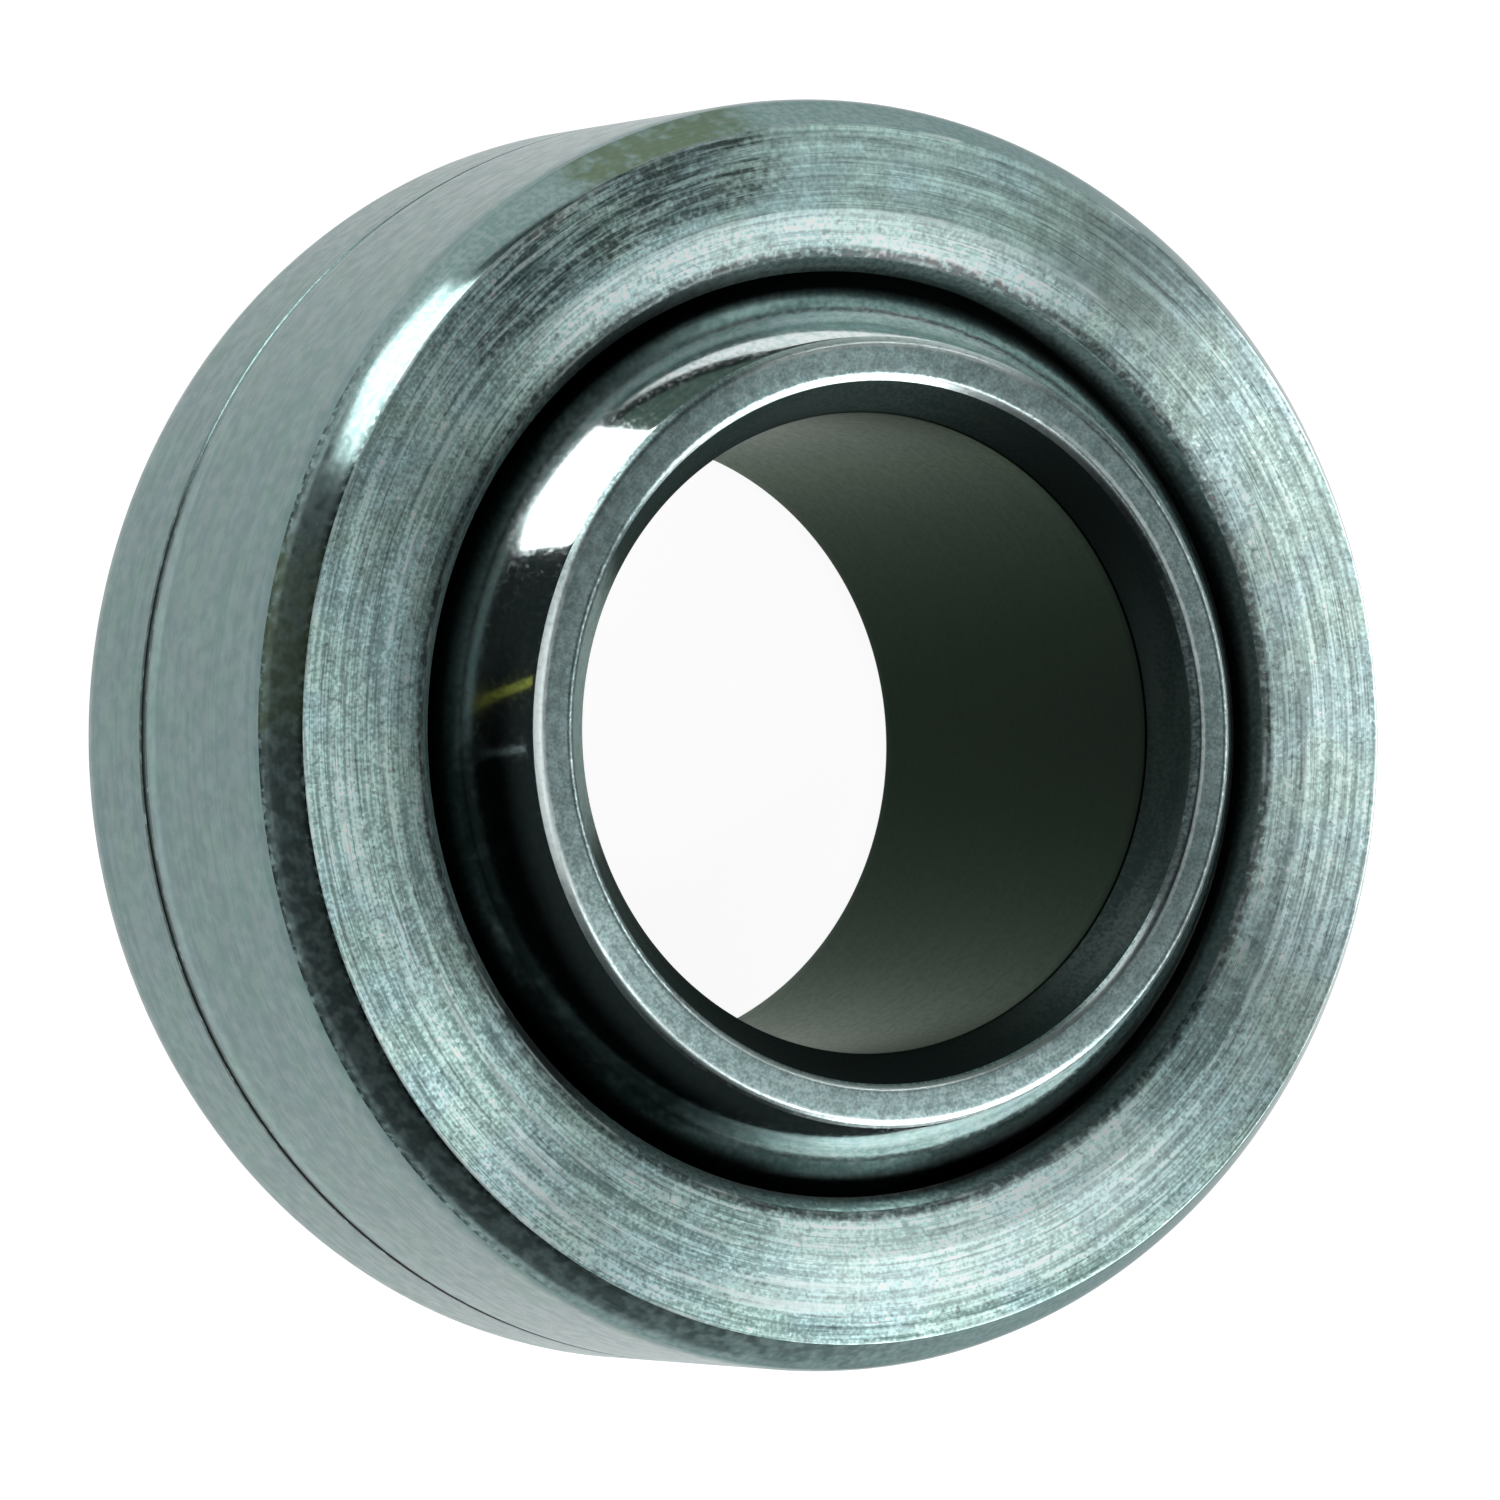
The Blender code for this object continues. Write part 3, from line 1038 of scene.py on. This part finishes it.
    def mouth(self, finish):
        """Blackened steel of the bore's chamfered mouths, with a painted highlight at the left."""
        material, tree, _, tone = marked_steel(
            "mouth_steel", finish.mouth, finish.mouth_roughness, marks=(0.10 * MM, 2.0, 1.0),
            speckle=(0.08 * MM, 0.7), contrast=0.16, bump=0.0006 * MM, tint=(0.62, 0.72, 0.66),
        )
        # Painted highlight on the mouths at the left
        glint_patch = patch(tree, grain(tree, 0.14 * MM, 52.0), 176.0, 21.0, ragged=0.6)
        tone = coated(tree, tone, glint_patch, 0.65, finish.mouth_highlight)
        return finished(material, tone)


class BEARING_OT_studio(bpy.types.Operator):
    """Set the camera, the floor, the lamps and the cards"""

    bl_idname = "bearing.studio"
    bl_label = "Studio"

    def execute(self, context):
        studio = context.scene.bearing_studio
        self.camera(context.scene, studio)
        self.floor(studio)
        self.world(context.scene, studio)
        self.lamps()
        self.cards()
        context.scene.view_settings.view_transform = "Standard"
        return {"FINISHED"}

    def camera(self, scene, studio):
        """Camera that looks down on the bearing, at the photograph's angle."""
        data = bpy.data.cameras.new("camera")
        data.lens = studio.lens
        data.sensor_width = 36.0
        data.shift_x = studio.shift_x
        data.shift_y = studio.shift_y
        data.clip_start = 0.01
        data.clip_end = 10.0
        camera = placed("camera", data)
        turn = Matrix((CAMERA_RIGHT, CAMERA_BACK.cross(CAMERA_RIGHT), CAMERA_BACK)).transposed()
        camera.matrix_world = Matrix.Translation(CAMERA_BACK * studio.distance) @ turn.to_4x4()
        scene.camera = camera

    def floor(self, studio):
        """Round pale floor that keeps the bearing's shadow."""
        radius = studio.floor_radius
        angles = [2 * math.pi * i / FLOOR_STEPS for i in range(FLOOR_STEPS)]
        shift = studio.floor_shift
        verts = [(radius * math.cos(a), radius * math.sin(a) + shift, CAD_BOUNDS[0].z) for a in angles]
        mesh = bpy.data.meshes.new("floor")
        mesh.from_pydata(verts, [], [tuple(range(FLOOR_STEPS))])
        material, tree = studio_material("floor")
        rays = add(tree, "ShaderNodeLightPath")
        seen = maths(tree, "ADD", rays.outputs["Is Camera Ray"], rays.outputs["Is Glossy Ray"])
        seen = maths(tree, "ADD", seen, rays.outputs["Is Transmission Ray"], clamp=True)
        glow = add(
            tree, "ShaderNodeEmission", {"Strength": maths(tree, "MULTIPLY", seen, studio.floor_glow)}
        )
        paint = add(tree, "ShaderNodeBsdfDiffuse", {"Color": (*[studio.floor_colour] * 3, 1.0)})
        both = add(tree, "ShaderNodeAddShader", {0: glow.outputs[0], 1: paint.outputs[0]})
        feed(tree, tree.nodes["Material Output"], {"Surface": both.outputs[0]})
        material.cycles.emission_sampling = "NONE"
        mesh.materials.append(material)
        placed("floor", mesh)

    def world(self, scene, studio):
        """White surroundings at a plain level."""
        world = bpy.data.worlds.new("surroundings")
        world.use_nodes = True
        background = world.node_tree.nodes["Background"]
        background.inputs["Color"].default_value = (1.0, 1.0, 1.0, 1.0)
        background.inputs["Strength"].default_value = studio.world_level
        scene.world = world

    def lamps(self):
        """Softboxes: the key at the upper left, two large ones at the right, and three small ones."""
        softbox("key_softbox", 100.8, 125.0, 0.45, (11.5, 14.0), 6.0)
        softbox("right_softbox", 49.5, 11.1, 0.50, (20.4, 16.2), 6.0)
        softbox("corner_softbox", 65.9, 328.6, 0.45, (15.3, 43.5), 6.0)
        softbox("front_softbox", 26.3, 288.5, 0.60, (6.2, 19.5), 6.0)
        softbox("top_softbox", 30.0, 219.0, 0.60, (14.0, 3.5), 5.0)
        softbox("rim_softbox", 42.0, 76.0, 0.60, (3.5, 13.0), 3.5)

    def cards(self):
        """A dark tent round the bearing, open high at the left to the white surroundings."""
        dark = (0.017, 0.022, 0.022)
        curved_card("dark_tent", dark, 0.80, (213.0, 501.0), (-14.0, 90.0), (72, 26))
        curved_card("dark_skirt", dark, 0.80, (141.0, 213.0), (-14.0, 20.8), (18, 8))
        curved_card("green_card", (0.09, 0.13, 0.11), 0.78, (40.0, 118.0), (-4.0, 17.0), (20, 6))
        bar_card("olive_bar", (0.28, 0.29, 0.06), 0.78, (175.5, -5.0), (168.5, 13.7), 1.8)
        bar_card("grey_bar", (0.20, 0.24, 0.24), 0.78, (184.0, -3.0), (183.0, 12.0), 1.3)


OPERATORS = (BEARING_OT_outer_race, BEARING_OT_ball, BEARING_OT_studio)


class BEARING_PT_bearing(bpy.types.Panel):
    """Sizes, finishes and steps of the bearing"""

    bl_label = "Spherical Plain Bearing"
    bl_idname = "BEARING_PT_bearing"
    bl_space_type = "VIEW_3D"
    bl_region_type = "UI"
    bl_category = "Bearing"

    def draw(self, context):
        for attribute, group in SIZE_GROUPS.items():
            box = self.layout.box()
            box.label(text=group.__doc__)
            settings = getattr(context.scene, attribute)
            for name in group.__annotations__:
                box.prop(settings, name)
        for operator in OPERATORS:
            self.layout.operator(operator.bl_idname)


CLASSES = (*SIZE_GROUPS.values(), *OPERATORS, BEARING_PT_bearing)


def register():
    """Register the classes and give the scene its settings."""
    for cls in CLASSES:
        bpy.utils.register_class(cls)
    for attribute, group in SIZE_GROUPS.items():
        setattr(bpy.types.Scene, attribute, PointerProperty(type=group))


def unregister():
    """Take the settings and the classes away again."""
    for attribute in SIZE_GROUPS:
        delattr(bpy.types.Scene, attribute)
    for cls in reversed(CLASSES):
        bpy.utils.unregister_class(cls)


def main():
    """Make the pieces and the studio."""
    register()
    bpy.ops.bearing.outer_race()
    bpy.ops.bearing.ball()
    bpy.ops.bearing.studio()


if __name__ == "__main__":
    main()
